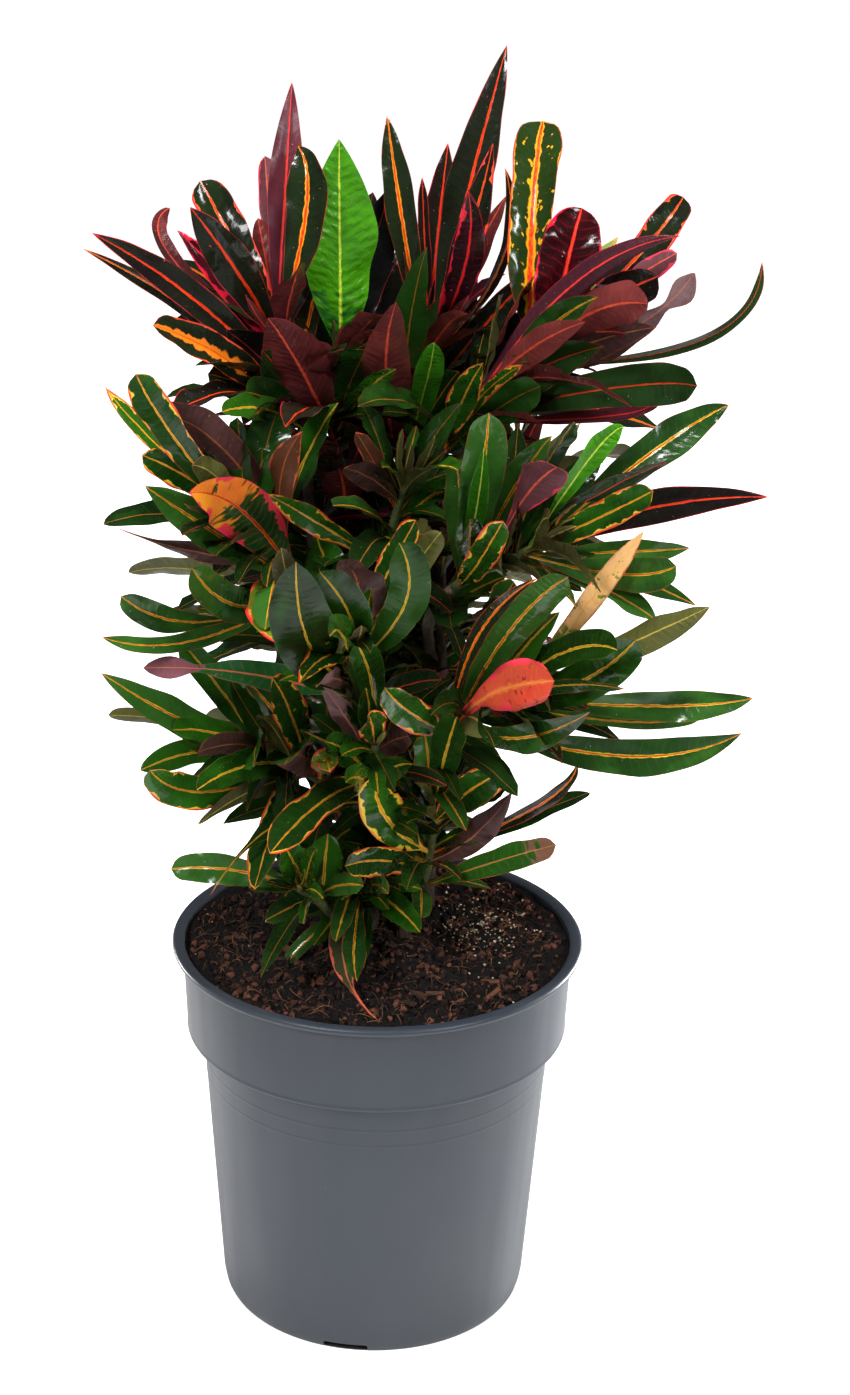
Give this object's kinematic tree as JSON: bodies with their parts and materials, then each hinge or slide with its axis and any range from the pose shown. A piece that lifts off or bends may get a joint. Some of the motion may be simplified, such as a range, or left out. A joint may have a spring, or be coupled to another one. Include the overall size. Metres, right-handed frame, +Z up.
{
  "type": "potted croton plant",
  "caption": "Bushy potted croton: long glossy striped leaves on branching woody stems, in soil in a tapered round plastic nursery pot with a rolled rim.",
  "frame": {"origin": "centre of the pot's underside, where it rests", "axes": "+Z up along the pot's axis, -Y towards the viewer of the picture, +X to the viewer's right"},
  "size_m": [0.3188, 0.3659, 0.6417],
  "materials": {
    "pot_plastic": "satin moulded plastic, slate grey",
    "potting_soil": "dark crumbly potting soil with bark fibres and pale grains",
    "bark": "rough grey-brown bark",
    "dark_foliage": "glossy blackish green leaves with scarlet and orange ribs and margins, wine-red undersides",
    "green_foliage": "glossy green leaves with yellow and orange ribs and margins, olive and brown undersides"
  },
  "bodies": {
    "root": {"pot": "pot_plastic", "soil": "potting_soil", "trunk_front": "bark", "trunk_low": "bark", "trunk_left": "bark", "trunk_mid": "bark", "trunk_right": "bark", "trunk_back": "bark", "shoot_crown_left": "dark_foliage", "shoot_crown_mid": "dark_foliage", "shoot_crown_tall": "dark_foliage", "shoot_crown_right": "dark_foliage", "shoot_back_crown": "dark_foliage", "shoot_mid_core": "green_foliage", "shoot_low_core": "green_foliage", "shoot_mid_left": "green_foliage", "shoot_mid_front": "green_foliage", "shoot_mid_right": "green_foliage", "shoot_low_right": "green_foliage", "shoot_low_left": "green_foliage", "shoot_foot_left": "green_foliage", "shoot_foot_front": "green_foliage", "shoot_foot_right": "green_foliage", "shoot_back_left": "green_foliage", "shoot_back_right": "green_foliage", "shoot_back_low": "green_foliage", "shoot_back_foot": "green_foliage", "shoot_back_mid": "green_foliage"}
  },
  "joints": []
}
